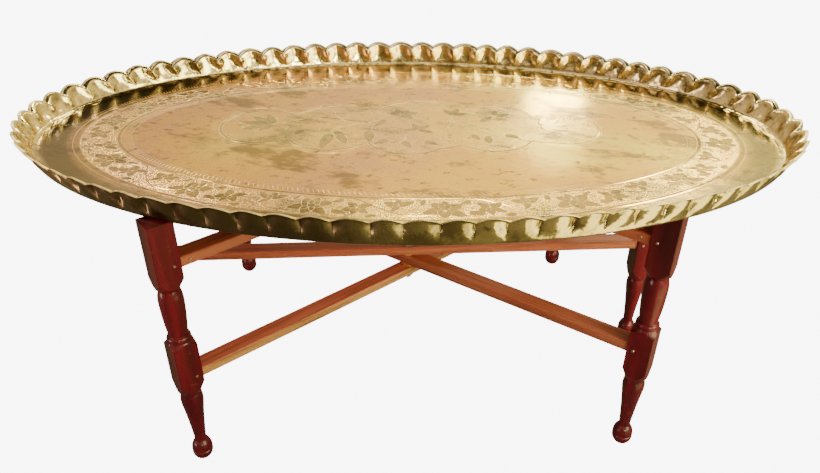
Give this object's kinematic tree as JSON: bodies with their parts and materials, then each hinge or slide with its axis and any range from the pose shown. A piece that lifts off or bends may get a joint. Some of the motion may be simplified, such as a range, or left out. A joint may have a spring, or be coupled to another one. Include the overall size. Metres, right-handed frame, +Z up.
{
  "type": "brass tray table",
  "caption": "Oval brass tray with a flared crimped rim, loose on a low folding stand of crossed two-legged frames with turned wooden legs that pivot on upright bolts.",
  "frame": {"origin": "on the floor under the middle of the tray", "axes": "+X along the tray's long axis, +Y towards the back, +Z up; the pivot bolts stand on the Z axis"},
  "size_m": [1.143, 0.6458, 0.4503],
  "materials": {
    "tray_brass": "aged satin brass, engraved, with brown tarnish",
    "leg_wood": "dark red mahogany stain under gloss varnish",
    "rail_wood": "orange-brown stain under satin varnish",
    "nail_steel": "bright flat nail heads",
    "pivot_steel": "dull zinc plate",
    "spacer_brass": "dull brass"
  },
  "bodies": {
    "frame_c": {"leg_middle_left": "leg_wood", "leg_middle_right": "leg_wood", "lower_rail_c": "rail_wood", "upper_rail_c": "rail_wood", "joint_nails_c": "nail_steel", "lower_pivot_bolt": "pivot_steel", "lower_pivot_nut": "pivot_steel", "lower_pivot_washers": "pivot_steel", "lower_spacer_ab": "spacer_brass", "lower_spacer_bc": "spacer_brass", "upper_pivot_bolt": "pivot_steel", "upper_pivot_nut": "pivot_steel", "upper_pivot_washers": "pivot_steel", "upper_spacer_ab": "spacer_brass", "upper_spacer_bc": "spacer_brass"},
    "frame_a": {"leg_front_left": "leg_wood", "leg_back_right": "leg_wood", "lower_rail_a": "rail_wood", "upper_rail_a": "rail_wood", "joint_nails_a": "nail_steel"},
    "frame_b": {"leg_front_right": "leg_wood", "leg_back_left": "leg_wood", "lower_rail_b": "rail_wood", "upper_rail_b": "rail_wood", "joint_nails_b": "nail_steel"},
    "tray": {"tray": "tray_brass"}
  },
  "joints": [
    {"name": "frame_a_fold", "type": "hinge", "parent": "frame_c", "child": "frame_a", "pos_m": [0, 0, 0.18], "axis": [0, 0, 1], "range_deg": [-31, 22]},
    {"name": "frame_b_fold", "type": "hinge", "parent": "frame_c", "child": "frame_b", "pos_m": [0, 0, 0.18], "axis": [0, 0, 1], "range_deg": [-22, 32]},
    {"name": "tray_lift", "type": "slide", "parent": "frame_c", "child": "tray", "axis": [0, 0, 1], "range_m": [0, 0.15]}
  ]
}
